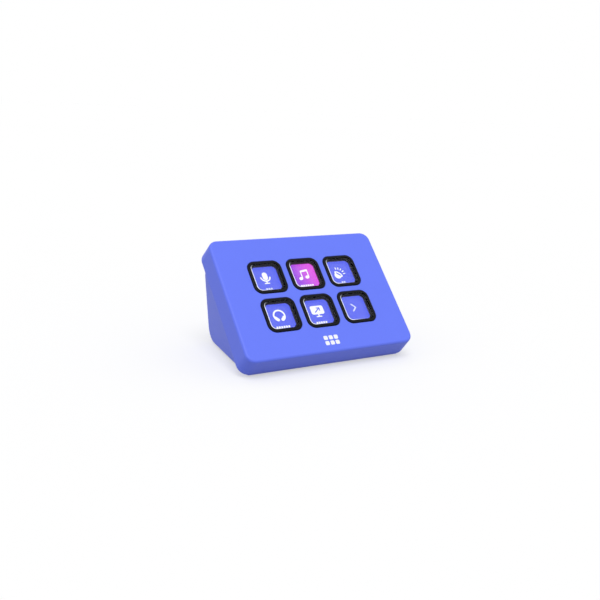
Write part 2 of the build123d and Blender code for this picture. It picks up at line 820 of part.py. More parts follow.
with BuildPart() as usb_shell:
    with BuildSketch(behind_rear(socket_set_back)):
        SlotOverall(socket_width, socket_height)
        SlotOverall(socket_width - 2 * socket_wall, socket_height - 2 * socket_wall, mode=Mode.SUBTRACT)
    extrude(amount=-socket_length)
usb_shell.part.label = "usb_shell"
export_step(usb_shell.part, "parts/usb_shell.step")

with BuildPart() as usb_tongue:
    with BuildSketch(behind_rear(board_outer_depth)):
        SlotOverall(
            socket_width - 2 * (socket_wall + screw_fit), socket_height - 2 * (socket_wall + screw_fit)
        )
    extrude(amount=tongue_base)
    with BuildSketch(behind_rear(board_outer_depth)):
        Rectangle(tongue_width, tongue_thickness)
    extrude(amount=socket_length - tongue_set_back)
usb_tongue.part.label = "usb_tongue"
export_step(usb_tongue.part, "parts/usb_tongue.step")


def board_block(across, up, width, height, thickness):
    """Plain body soldered to the inner side of the main board."""
    with BuildPart() as block:
        with BuildSketch(behind_rear(board_inner_depth)):
            with Locations((-across, board_above_socket + up)):
                Rectangle(width, height)
        extrude(amount=-thickness)
    return block.part


controller_chip = board_block(
    controller_across, controller_up, controller_size, controller_size, controller_thickness
)
controller_chip.label = "controller_chip"
export_step(controller_chip, "parts/controller_chip.step")

memory_chip = board_block(memory_across, memory_up, memory_width, memory_length, memory_thickness)
memory_chip.label = "memory_chip"
export_step(memory_chip, "parts/memory_chip.step")

crystal = board_block(crystal_across, crystal_up, crystal_width, crystal_length, crystal_thickness)
crystal.label = "crystal"
export_step(crystal, "parts/crystal.step")

with BuildPart() as capacitors:
    with BuildSketch(behind_rear(board_inner_depth)):
        with Locations((-capacitor_across, board_above_socket + capacitor_up)):
            with GridLocations(capacitor_pitch, 0, capacitor_count, 1):
                Rectangle(capacitor_width, capacitor_length)
    extrude(amount=-capacitor_thickness)
capacitors.part.label = "capacitors"
export_step(capacitors.part, "parts/capacitors.step")


def ribbon_connector(across, tail_width, tail_thickness):
    """Upright connector with a slot for the end of a flat tail."""
    with BuildPart() as connector:
        with BuildSketch(behind_rear(board_inner_depth)):
            with Locations((-across, board_above_socket + connector_up)):
                Rectangle(tail_width + 2 * connector_border, connector_height)
        extrude(amount=-connector_depth)
        with BuildSketch(behind_rear(board_inner_depth + connector_depth)):
            with Locations((-across, board_above_socket + connector_up)):
                Rectangle(tail_width + 2 * ribbon_slot_gap, tail_thickness + 2 * ribbon_slot_gap)
        extrude(amount=ribbon_seat + ribbon_slot_gap, mode=Mode.SUBTRACT)
    return connector.part


display_connector = ribbon_connector(display_tail_across, display_tail_width, ribbon_thickness)
display_connector.label = "display_connector"
export_step(display_connector, "parts/display_connector.step")

key_connector = ribbon_connector(key_tail_across, key_tail_width, membrane_thickness)
key_connector.label = "key_connector"
export_step(key_connector, "parts/key_connector.step")
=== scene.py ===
import json
from math import cos, degrees, pi, radians, sin

import bmesh
import bpy
from bpy.props import FloatProperty, FloatVectorProperty, IntProperty, PointerProperty
from mathutils import Matrix, Vector


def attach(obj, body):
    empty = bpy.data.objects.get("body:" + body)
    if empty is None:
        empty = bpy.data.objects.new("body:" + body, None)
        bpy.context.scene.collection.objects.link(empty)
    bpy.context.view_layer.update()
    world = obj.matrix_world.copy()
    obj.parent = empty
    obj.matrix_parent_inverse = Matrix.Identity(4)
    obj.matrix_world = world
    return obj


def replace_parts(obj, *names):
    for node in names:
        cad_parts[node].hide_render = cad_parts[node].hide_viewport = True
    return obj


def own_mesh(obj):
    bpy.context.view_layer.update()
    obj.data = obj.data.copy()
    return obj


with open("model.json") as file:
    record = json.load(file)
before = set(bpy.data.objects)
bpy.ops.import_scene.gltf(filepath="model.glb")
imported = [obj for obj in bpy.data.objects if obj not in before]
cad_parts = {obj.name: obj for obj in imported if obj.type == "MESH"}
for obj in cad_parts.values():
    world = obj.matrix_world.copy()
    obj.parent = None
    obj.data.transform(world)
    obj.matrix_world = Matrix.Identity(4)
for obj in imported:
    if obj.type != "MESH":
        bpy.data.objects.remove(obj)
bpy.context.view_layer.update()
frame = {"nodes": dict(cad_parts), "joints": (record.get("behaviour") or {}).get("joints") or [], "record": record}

bl_info = {
    "name": "Display keypad",
    "version": (1, 0, 0),
    "blender": (4, 5, 0),
    "location": "3D View > Sidebar > Keypad",
    "description": "Finishes, lit key pictures and studio of a six-key display keypad",
    "category": "Object",
}

MM = 0.001
CIRCLE_STEPS = 48
CORNER_STEPS = 8
FEWEST_ARC_STEPS = 2
ROUND_END = 0.499  # corner of a stroke's end, just under half its width
MERGE_REACH = 0.001 * MM
DISPLAY_CELL = 0.19 * MM
BASE = "base"
KEYS = range(1, 7)
ACCENT_KEY = 2
BLACK = (0.0, 0.0, 0.0, 1.0)
WHITE = (1.0, 1.0, 1.0, 1.0)

# The face's own directions: to the right, up the slope, and out of the face
press = next(joint for joint in frame["joints"] if joint["name"] == "key_1_press")
ACROSS = Vector((1, 0, 0))
OUTWARD = -Vector(press["axis"]).normalized()
UPHILL = OUTWARD.cross(ACROSS)


# ------------------------------------------------------------------ places on the model


def reach(node, direction):
    """Lowest and highest reach of a CAD node along a direction."""
    spots = [vertex.co.dot(direction) for vertex in frame["nodes"][node].data.vertices]
    return min(spots), max(spots)


def middle(node, direction):
    """Middle of a CAD node along a direction."""
    return sum(reach(node, direction)) / 2


def key_pitch():
    """Distance from one key to the next."""
    return middle("key_bezel_2", ACROSS) - middle("key_bezel_1", ACROSS)


def plane_place(right, up, out, origin):
    """Matrix from millimetres on a plane to the model's metres."""
    place = Matrix((right, up, out)).transposed().to_4x4()
    place.translation = origin
    return place @ Matrix.Scale(MM, 4)


def face_place(x, slope, level):
    """Plane parallel to the face, through a point given along the face's own directions."""
    return plane_place(ACROSS, UPHILL, OUTWARD, ACROSS * x + UPHILL * slope + OUTWARD * level)


def key_place(number, lift):
    """Plane on the display under one key, lifted off the glass by some millimetres."""
    bezel = f"key_bezel_{number}"
    level = reach("display_glass", OUTWARD)[1] + lift * MM
    return face_place(middle(bezel, ACROSS), middle(bezel, UPHILL), level)


# ------------------------------------------------------------------ flat drawings


def heading(angle):
    """Direction on a plane, at an angle in degrees."""
    return Vector((cos(radians(angle)), sin(radians(angle))))


class Drawing:
    """Flat shapes on one plane, in millimetres, that become one thin piece."""

    def __init__(self):
        self.mesh = bmesh.new()

    def move(self, verts, centre, turn=0.0):
        """Turns new vertices about the origin, then carries them to their centre."""
        place = Matrix.Translation((*centre, 0)) @ Matrix.Rotation(radians(turn), 4, "Z")
        bmesh.ops.transform(self.mesh, matrix=place, verts=verts)

    def disc(self, centre, radius, flat=1.0, turn=0.0):
        """Round spot, or an ellipse when its height is made flat."""
        made = bmesh.ops.create_circle(
            self.mesh, cap_ends=True, radius=radius, segments=CIRCLE_STEPS
        )["verts"]
        bmesh.ops.scale(self.mesh, vec=(1, flat, 1), verts=made)
        self.move(made, centre, turn)

    def plate(self, centre, width, height, corner, turn=0.0):
        """Rectangle with round corners."""
        made = bmesh.ops.create_grid(self.mesh, x_segments=1, y_segments=1, size=0.5)["verts"]
        bmesh.ops.scale(self.mesh, vec=(width, height, 1), verts=made)
        rounded = bmesh.ops.bevel(
            self.mesh,
            geom=made,
            offset=corner,
            segments=CORNER_STEPS,
            profile=0.5,
            affect="VERTICES",
            material=-1,
        )["verts"]
        self.move(rounded, centre, turn)

    def arc(self, centre, inner, outer, start, sweep):
        """Part of a ring, with round ends, from a start angle over a sweep in degrees."""
        ends = [self.mesh.verts.new((radius, 0, 0)) for radius in (inner, outer)]
        edge = self.mesh.edges.new(ends)
        bmesh.ops.spin(
            self.mesh,
            geom=[*ends, edge],
            cent=(0, 0, 0),
            axis=(0, 0, 1),
            angle=radians(sweep),
            steps=max(FEWEST_ARC_STEPS, round(CIRCLE_STEPS * abs(sweep) / 360)),
            use_merge=False,
        )
        made = set(ends)
        while True:
            grown = {edge.other_vert(vert) for vert in made for edge in vert.link_edges}
            if grown <= made:
                break
            made |= grown
        self.move(list(made), centre, start)
        middle_radius = (inner + outer) / 2
        for angle in (start, start + sweep):
            self.disc(Vector(centre) + heading(angle) * middle_radius, (outer - inner) / 2)

    def stroke(self, start, end, width):
        """Straight line with round ends."""
        run = Vector(end) - Vector(start)
        centre = (Vector(start) + Vector(end)) / 2
        turn = -degrees(Vector((1, 0)).angle_signed(run))
        self.plate(centre, run.length + width, width, width * ROUND_END, turn)

    def finish(self, name, place, thickness, body, finish, slot):
        """Gives the shapes their thickness and makes them one piece that rides on a body."""
        faces = self.mesh.faces[:]
        raised = bmesh.ops.extrude_face_region(self.mesh, geom=faces, use_keep_orig=True)["geom"]
        verts = [item for item in raised if isinstance(item, bmesh.types.BMVert)]
        bmesh.ops.translate(self.mesh, vec=(0, 0, thickness), verts=verts)
        bmesh.ops.recalc_face_normals(self.mesh, faces=self.mesh.faces[:])
        bmesh.ops.transform(self.mesh, matrix=place, verts=self.mesh.verts[:])
        return add_piece(name, self.mesh, body, finish)


def add_piece(name, mesh, body, finish):
    """Links a finished mesh to the scene as a piece that rides on a body."""
    data = bpy.data.meshes.new(name)
    mesh.to_mesh(data)
    mesh.free()
    piece = bpy.data.objects.new(name, data)
    bpy.context.scene.collection.objects.link(piece)
    data.materials.append(finish)
    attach(piece, body)
    return piece


# ------------------------------------------------------------------ finishes


class Signal:
    """Output of a shader node that can stand in arithmetic."""

    def __init__(self, finish, socket):
        self.finish = finish
        self.socket = socket

    def math(self, operation, *values):
        """Another signal, worked out by a Math node."""
        settings = {"operation": operation}
        return self.finish.node("ShaderNodeMath", settings, dict(enumerate(values)))

    def __add__(self, other):
        return self.math("ADD", self, other)

    def __radd__(self, other):
        return self.math("ADD", other, self)

    def __sub__(self, other):
        return self.math("SUBTRACT", self, other)

    def __rsub__(self, other):
        return self.math("SUBTRACT", other, self)

    def __mul__(self, other):
        return self.math("MULTIPLY", self, other)

    def __rmul__(self, other):
        return self.math("MULTIPLY", other, self)

    def __gt__(self, other):
        return self.math("GREATER_THAN", self, other)

    def __lt__(self, other):
        return self.math("LESS_THAN", self, other)

    def part(self, other):
        """What is left of the value after whole steps of another."""
        return self.math("FLOORED_MODULO", self, other)

    def absolute(self):
        """The value without its sign."""
        return self.math("ABSOLUTE", self)

    def at_least(self, lowest):
        """The value, or a lowest one where it falls below that."""
        return self.math("MAXIMUM", self, lowest)

    def root(self):
        """Square root of the value."""
        return self.math("SQRT", self)


class Finish:
    """Material in the making: one Principled shader and the patterns that feed it."""

    def __init__(self, name, material=None, surface="Principled BSDF"):
        self.material = material or bpy.data.materials.new(name)
        self.material.use_nodes = True
        self.tree = self.material.node_tree
        self.surface = self.tree.nodes[surface]

    def node(self, kind, settings=None, sockets=None, output=0):
        """Adds a node: first its settings, then the values or links of its sockets."""
        made = self.tree.nodes.new(kind)
        for name, value in (settings or {}).items():
            setattr(made, name, value)
        for key, value in (sockets or {}).items():
            self.feed(made.inputs[key], value)
        return Signal(self, made.outputs[output])

    def feed(self, socket, value):
        """Links a signal to a socket, or sets the socket to a plain value."""
        if isinstance(value, Signal):
            self.tree.links.new(value.socket, socket)
        else:
            socket.default_value = value

    def shade(self, **values):
        """Feeds sockets of the surface shader, named in lower case with underscores."""
        for name, value in values.items():
            title = name.replace("_", " ").title().replace("Ior", "IOR")
            self.feed(self.surface.inputs[title], value)
        return self.material

    def cover(self, mask, sockets):
        """Lays another Principled shader over the surface where a mask is 1."""
        surface = self.tree.nodes["Material Output"].inputs["Surface"]
        below = Signal(self, surface.links[0].from_socket)
        above = self.node("ShaderNodeBsdfPrincipled", sockets=sockets, output="BSDF")
        self.feed(surface, self.node("ShaderNodeMixShader", sockets={0: mask, 1: below, 2: above}))

    def past_round_square(self, x, y, half, corner):
        """Distance past the outline of a round-cornered square, negative inside its border."""
        over = [(axis.absolute() - (half - corner)).at_least(0.0) for axis in (x, y)]
        return (over[0] * over[0] + over[1] * over[1]).root() - corner

    def place(self, offset=(0, 0, 0), turn=(0, 0, 0)):
        """Place on the model, shifted and turned for a pattern of its own."""
        spot = self.node("ShaderNodeTexCoord", output="Object")
        if not any(offset) and not any(turn):
            return spot
        sockets = {"Vector": spot, "Location": offset, "Rotation": turn}
        return self.node("ShaderNodeMapping", {"vector_type": "TEXTURE"}, sockets)

    def face_axes(self, origin=(0, 0, 0)):
        """Place along the face's own directions, as three separate signals."""
        tilt = UPHILL.angle(Vector((0, 1, 0)))
        turned = self.place(origin, (tilt, 0, 0))
        return [self.along(axis, turned) for axis in "XYZ"]

    def along(self, axis, spot=None):
        """One coordinate of a place."""
        sockets = {"Vector": spot or self.place()}
        return self.node("ShaderNodeSeparateXYZ", sockets=sockets, output=axis)

    def noise(self, size, detail=2.0, spot=None):
        """Soft noise between 0 and 1, with lumps of a size in metres."""
        sockets = {"Vector": spot or self.place(), "Scale": 1 / size, "Detail": detail}
        return self.node("ShaderNodeTexNoise", sockets=sockets, output="Fac")

    def spots(self, size, randomness=1.0):
        """Distance to the nearest of many scattered points, in parts of their spacing."""
        sockets = {"Vector": self.place(), "Scale": 1 / size, "Randomness": randomness}
        return self.node("ShaderNodeTexVoronoi", sockets=sockets, output="Distance")

    def blend(self, factor, first, second):
        """Colour between two others, which are sockets 6 and 7 of a Mix node."""
        sockets = {0: factor, 6: first, 7: second}
        return self.node("ShaderNodeMix", {"data_type": "RGBA"}, sockets, output=2)

    def tones(self, colour, spread, size, detail=2.0):
        """One colour, a little darker and lighter from place to place."""
        darker, lighter = (tint(colour, factor) for factor in (1 - spread, 1 + spread))
        return self.blend(self.noise(size, detail), darker, lighter)

    def relief(self, height, depth):
        """Normal of a surface with a height pattern, its depth in metres."""
        sockets = {"Height": height, "Distance": depth, "Strength": 1.0}
        return self.node("ShaderNodeBump", sockets=sockets, output="Normal")


def tint(colour, factor):
    """A colour made darker or lighter, with its alpha."""
    return (*(min(1.0, channel * factor) for channel in colour[:3]), 1.0)


def housing_finish(colour):
    """Satin moulded plastic with a fine spark-eroded grain and faint flow marks."""
    made = Finish("housing_satin")
    grain = made.noise(0.34 * MM, 3.0)
    flow = made.noise(12 * MM)
    return made.shade(
        base_color=made.blend(flow * 0.3 + grain * 0.7, tint(colour, 0.93), tint(colour, 1.07)),
        roughness=0.4 + grain * 0.14 + flow * 0.04,
        normal=made.relief(grain, 0.04 * MM),
        ior=1.5,
    )


def gloss_finish(name, colour, roughness, gloss=0.5):
    """Polished moulded plastic with faint polishing haze."""
    made = Finish(name)
    haze = made.noise(1.5 * MM, 4.0)
    return made.shade(
        base_color=made.tones(colour, 0.25, 4 * MM),
        roughness=roughness + haze * 0.08,
        normal=made.relief(made.noise(0.9 * MM), 0.004 * MM),
        specular_ior_level=gloss,
    )


def cap_finish(colours, sizes):
    """Clear acrylic cap, black-painted sides, and a glowing painted highlight on its left and lower edges."""
    made = Finish("clear_acrylic")
    haze = made.noise(1.2 * MM, 4.0)
    made.shade(
        base_color=made.tones(colours.cap, 0.01, 3 * MM),
        roughness=haze * 0.02,
        normal=made.relief(made.noise(4 * MM), 0.003 * MM),
        transmission_weight=1.0,
        specular_tint=(0.35, 0.35, 0.38, 1.0),
        ior=1.49,
    )

    # Place on a cap from its middle, the same for all six because they are a pitch apart
    left, right = reach("key_lens_1", ACROSS)
    half = (right - left) / 2
    paint_top = reach("key_lens_1", OUTWARD)[1] - sizes.cap_clear_edge
    pitch = key_pitch()
    first = ACROSS * (left + right) / 2 + UPHILL * middle("key_lens_1", UPHILL)
    x, slope, height = made.face_axes(first + OUTWARD * paint_top)
    x = (x + pitch / 2).part(pitch) - pitch / 2
    slope = (slope + pitch / 2).part(pitch) - pitch / 2

    lower_half = half - sizes.cap_step
    past_block = made.past_round_square(x, slope, lower_half, sizes.cap_lower_corner)
    past_cap = made.past_round_square(x, slope, half, sizes.cap_corner)
    made.cover(
        (past_block > -sizes.cap_paint_depth) * (height < 0.0),
        {
            "Base Color": made.tones(colours.key_frame, 0.2, 2 * MM),
            "Roughness": 0.5 + haze * 0.1,
            "Specular IOR Level": 0.06,
        },
    )
    # Painted highlight: a pale, glowing line on the cap's rounded top edge, strongest on the left, which runs out
    # before the upper edge
    upper_part = (slope - half * 0.45).at_least(0.0) * (1.8 / half)
    painted_glow_fade = 0.2 - x * (1 / half) - upper_part
    made.cover(
        (past_cap > -sizes.painted_glow_width) * (height > 0.0) * painted_glow_fade,
        {
            "Base Color": made.tones(colours.cap, 0.04, 0.8 * MM),
            "Roughness": 0.5 + haze * 0.2,
            "Emission Color": made.tones(colours.painted_edge_glow, 0.05, 1 * MM),
            "Emission Strength": 0.42,
        },
    )
    return made.material


def soft_finish(name, colour, ribs=0.0):
    """Matt rubber or silicone, finely grained, with shallow ribs where it grips."""
    made = Finish(name)
    grain = made.noise(0.18 * MM)
    height = grain * 0.2
    if ribs:
        height = height + ((made.along("Y").part(ribs) - ribs / 2).absolute() > ribs * 0.32)
    return made.shade(
        base_color=made.tones(colour, 0.12, 1.2 * MM, 4.0),
        roughness=0.72 + grain * 0.15,
        normal=made.relief(height, 0.06 * MM),
    )


def metal_finish(name, colour, roughness, streak=(1.0, 12.0, 12.0)):
    """Rolled or plated metal, with streaks along one direction."""
    made = Finish(name)
    stretched = made.node("ShaderNodeMapping", sockets={"Vector": made.place(), "Scale": streak})
    streaks = made.noise(4 * MM, 5.0, stretched)
    return made.shade(
        base_color=made.blend(streaks, tint(colour, 0.88), tint(colour, 1.06)),
        roughness=roughness - 0.08 + streaks * 0.16,
        metallic=1.0,
        normal=made.relief(streaks, 0.006 * MM),
    )


def film_finish(colour, track):
    """Amber film with copper tracks that run along it."""
    made = Finish("track_film")
    wander = made.noise(20 * MM) * (0.4 * MM)
    track_pitch = 1.1 * MM
    tracks = (made.along("X") + wander).part(track_pitch) < track_pitch / 2
    return made.shade(
        base_color=made.blend(tracks, colour, track),
        roughness=0.42 - tracks * 0.1 + made.noise(0.6 * MM) * 0.06,
        normal=made.relief(tracks, 0.01 * MM),
    )


def board_finish(mask, copper):
    """Solder mask over tracks, with plated through-holes."""
    made = Finish("circuit_board")
    wander = made.noise(3 * MM) * (0.9 * MM)
    track_width = 0.4 * MM
    upright = (made.along("X") + wander).part(1.2 * MM) < track_width
    level = (made.along("Z") + wander).part(1.3 * MM) < track_width
    area = made.noise(6 * MM)
    tracks = upright * (area > 0.5) + level * (area < 0.5)
    holes = made.spots(3.1 * MM) < 0.1
    covered = made.blend(tracks, tint(mask, 0.8), tint(mask, 1.6))
    return made.shade(
        base_color=made.blend(holes, covered, copper),
        metallic=holes * 0.9,
        roughness=0.34 + made.noise(0.7 * MM) * 0.1,
        normal=made.relief(tracks + holes, 0.03 * MM),
    )


def chip_finish(name, colour):
    """Moulded package or ceramic with a sandy surface."""
    made = Finish(name)
    sand = made.noise(0.12 * MM, 3.0)
    return made.shade(
        base_color=made.tones(colour, 0.2, 0.5 * MM, 3.0),
        roughness=0.55 + sand * 0.2,
        normal=made.relief(sand, 0.01 * MM),
    )


def guide_finish(colour):
    """Milky light guide with printed extraction dots."""
    made = Finish("light_guide")
    dots = made.spots(0.9 * MM, 0.0) < 0.28
    return made.shade(
        base_color=made.blend(dots, tint(colour, 0.9), tint(colour, 1.06)),
        roughness=0.3 + dots * 0.3,
        normal=made.relief(dots, 0.01 * MM),
    )


def panel_finish(colour):
    """Dark display glass with its fine grid of unlit picture elements."""
    made = Finish("display_panel")
    across, uphill, _ = made.face_axes()
    line = DISPLAY_CELL * 0.2
    lines = (across.part(DISPLAY_CELL) < line) + (uphill.part(DISPLAY_CELL) < line)
    return made.shade(
        base_color=made.blend(lines, colour, tint(colour, 0.5)),
        roughness=0.16 + made.noise(3 * MM) * 0.06,
        normal=made.relief(lines, 0.002 * MM),
    )


def lit_finish(name, first, second=None, origin=(0, 0, 0), strength=1.0):
    """Light of a display picture over its cell grid, of one colour or two from left to right."""
    made = Finish(name)
    across, uphill, _ = made.face_axes(origin)
    lit = first
    if second is not None:
        half_sweep = 7 * MM
        sweep = made.node(
            "ShaderNodeMapRange",
            {"interpolation_type": "SMOOTHSTEP"},
            {"Value": across + uphill * 0.35, "From Min": -half_sweep, "From Max": half_sweep},
        )
        lit = made.blend(sweep, first, second)
    line = DISPLAY_CELL * 0.14
    lines = ((across.part(DISPLAY_CELL) < line) + (uphill.part(DISPLAY_CELL) < line)) * 0.12
    return made.shade(
        base_color=(0.004, 0.004, 0.006, 1.0),
        roughness=0.3 + lines * 0.5,
        emission_color=made.blend(lines, lit, tint(first, 0.4)),
        emission_strength=strength,
    )


def print_finish(colour):
    """Pad-printed ink with a slightly uneven film."""
    made = Finish("printed_ink")
    film = made.noise(0.5 * MM, 4.0)
    return made.shade(
        base_color=made.blend(film, tint(colour, 0.94), tint(colour, 1.0)),
        roughness=0.4 + film * 0.12,
        normal=made.relief(film, 0.006 * MM),
    )


def dress(finish, *nodes):
    """Gives CAD nodes a finish."""
    for name in nodes:
        node = frame["nodes"][name]
        if not node.material_slots:
            node.data.materials.append(finish)
        for slot in node.material_slots:
            slot.material = finish


# ------------------------------------------------------------------ settings


def colour_setting(name, description, *default):
    """Colour, given as linear red, green and blue."""
    return FloatVectorProperty(
        name=name,
        description=description,
        default=(*default, 1.0),
        subtype="COLOR",
        size=4,
        min=0.0,
        max=1.0,
    )


def length_setting(name, description, millimetres):
    """Length, given in millimetres."""
    return FloatProperty(
        name=name,
        description=description,
        default=millimetres * MM,
        unit="LENGTH",
        subtype="DISTANCE",
    )


def angle_setting(name, description, angle):
    """Angle, given in degrees."""
    return FloatProperty(
        name=name,
        description=description,
        default=radians(angle),
        unit="ROTATION",
        subtype="ANGLE",
    )


def level_setting(name, description, default):
    """Level of light, 1 for white."""
    return FloatProperty(
        name=name, description=description, default=default, min=0.0, soft_max=1.0
    )


class KeypadColours(bpy.types.PropertyGroup):
    """Colours that a user would change."""

    housing: colour_setting("Housing", "Both halves of the housing", 0.117, 0.182, 0.92)
    key_frame: colour_setting("Key frames", "Frames and painted cap sides", 0.006, 0.006, 0.008)
    cap: colour_setting("Caps", "Clear acrylic of the caps", 0.97, 0.98, 1.0)
    # Glow of the painted highlight along the caps' left and lower edges
    painted_edge_glow: colour_setting("Cap edge", "Light in the ground edges of the caps", 0.6, 0.66, 1.0)
    tile: colour_setting("Key picture", "Ground of the lit key pictures", 0.088, 0.125, 0.9)
    accent_low: colour_setting("Accent, left", "Left of the accent picture", 0.27, 0.035, 0.8)
    accent_high: colour_setting("Accent, right", "Right of the accent picture", 0.8, 0.085, 0.82)
    icon: colour_setting("Icons", "Signs on the lit pictures", 1.0, 1.0, 1.0)
    quiet_icon: colour_setting("Quiet signs", "Chevron and short rows of marks", 0.78, 0.82, 1.0)
    mark: colour_setting("Printed mark", "Ink of the mark on the face", 0.92, 0.93, 0.96)
    foot: colour_setting("Foot pad", "Rubber under the stand", 0.022, 0.022, 0.026)
    silicone: colour_setting("Silicone", "Mat with the domes under the keys", 0.2, 0.21, 0.23)
    board: colour_setting("Circuit board", "Solder mask of the main board", 0.008, 0.07, 0.035)


class KeypadSizes(bpy.types.PropertyGroup):
    """Sizes of the pieces on the display, the face and the socket."""

    tile_side: length_setting("Picture side", "Side of each lit key picture", 13.0)
    tile_corner: length_setting("Picture corner", "Corner radius of a lit picture", 1.6)
    icon_rise: length_setting("Icon rise", "Icons above the middle of their key", 0.7)
    row_drop: length_setting("Row drop", "Row of marks below the middle of its key", 4.9)
    mark_drop: length_setting("Mark drop", "Printed mark below the middle of the keys", 24.3)
    mark_cell: length_setting("Mark cell", "Side of one cell of the printed mark", 1.95)
    cap_step: length_setting("Cap step", "Lower block of a cap inside its side", 0.54)
    cap_corner: length_setting("Cap corner", "Corner radius of a cap", 2.3)
    cap_lower_corner: length_setting("Cap lower corner", "Corner of a cap's lower block", 2.76)
    cap_clear_edge: length_setting("Clear edge", "Unpainted height at the top of a cap", 0.45)
    # Width of the painted highlight line along a cap's edge
    painted_glow_width: length_setting("Ground edge", "Width of the pale line on a cap", 0.3)
    cap_paint_depth: length_setting("Paint depth", "Reach of the paint into a cap's side", 0.04)
    mat_sheet: length_setting("Mat sheet", "Thickness of the mat between its domes", 0.2)
    contact_pitch: length_setting("Contact pitch", "Between two contacts of the socket", 0.5)
    contact_count: IntProperty(
        name="Contacts",
        description="Contacts on each side of the tongue",
        default=12,
        min=2,
        max=12,
    )


class StudioSettings(bpy.types.PropertyGroup):
    """Light and view of the studio."""

    key_level: level_setting("Key light", "Soft light from above, in front", 0.46)
    ambient: level_setting("Ambient", "Light from all round", 0.63)
    floor_grey: level_setting("Floor", "Share of its light that the floor sends back", 0.45)
    azimuth: angle_setting("Azimuth", "View direction, from +Y towards +X", 30.563)
    elevation: angle_setting("Elevation", "Camera above the horizon", 14.87)
    roll: angle_setting("Roll", "Camera's right side lifted", 2.846)
    distance: length_setting("Distance", "Camera to the middle of the view", 365.07)
    lens: FloatProperty(
        name="Lens",
        description="Focal length on a 36 mm sensor",
        default=48.98,
        min=1.0,
        subtype="DISTANCE_CAMERA",
    )


# ------------------------------------------------------------------ housing and keys


class KEYPAD_OT_housing(bpy.types.Operator):
    """Give both halves of the housing their satin plastic, and the foot its rubber"""

    bl_idname = "keypad.housing"
    bl_label = "Finish housing"

    def execute(self, context):
        colours = context.scene.keypad_colours
        dress(housing_finish(colours.housing), "front_shell", "rear_shell")
        dress(soft_finish("foot_rubber", colours.foot, ribs=1.8 * MM), "foot_pad")
        return {"FINISHED"}


class KEYPAD_OT_keys(bpy.types.Operator):
    """Give the key frames and the clear caps their finishes"""

    bl_idname = "keypad.keys"
    bl_label = "Finish keys"

    def execute(self, context):
        colours = context.scene.keypad_colours
        frame_gloss = gloss_finish("key_gloss_black", colours.key_frame, 0.24, gloss=0.12)
        acrylic = cap_finish(colours, context.scene.keypad_sizes)
        for number in KEYS:
            dress(frame_gloss, f"key_bezel_{number}")
            dress(acrylic, f"key_lens_{number}")
        return {"FINISHED"}


class KEYPAD_OT_inside(bpy.types.Operator):
    """Give every piece inside the housing its finish"""

    bl_idname = "keypad.inside"
    bl_label = "Finish inside"

    def execute(self, context):
        colours = context.scene.keypad_colours
        film = film_finish((0.42, 0.2, 0.04, 1.0), (0.5, 0.27, 0.1, 1.0))
        dress(film, "contact_membrane", "display_ribbon")
        dress(panel_finish((0.008, 0.008, 0.012, 1.0)), "display_glass")
        dress(guide_finish((0.75, 0.77, 0.8, 1.0)), "display_backlight")
        dress(metal_finish("tray_steel", (0.56, 0.56, 0.58, 1.0), 0.34), "display_tray")
        dress(gloss_finish("inner_black", (0.02, 0.02, 0.022, 1.0), 0.5), "support_frame")
        dress(metal_finish("ballast_steel", (0.4, 0.4, 0.42, 1.0), 0.42), "ballast_plate")
        screws = metal_finish("screw_steel", (0.2, 0.2, 0.22, 1.0), 0.32, streak=(6.0, 6.0, 6.0))
        dress(screws, "ballast_screws", "frame_screws", "case_screws", "board_screws")
        dress(board_finish(colours.board, (0.7, 0.45, 0.16, 1.0)), "main_board")
        package = chip_finish("package_black", (0.015, 0.015, 0.017, 1.0))
        dress(package, "controller_chip", "memory_chip")
        dress(chip_finish("capacitor_ceramic", (0.36, 0.2, 0.1, 1.0)), "capacitors")
        dress(metal_finish("can_steel", (0.6, 0.6, 0.6, 1.0), 0.24), "crystal")
        connector = chip_finish("connector_ivory", (0.68, 0.63, 0.5, 1.0))
        dress(connector, "display_connector", "key_connector")
        return {"FINISHED"}


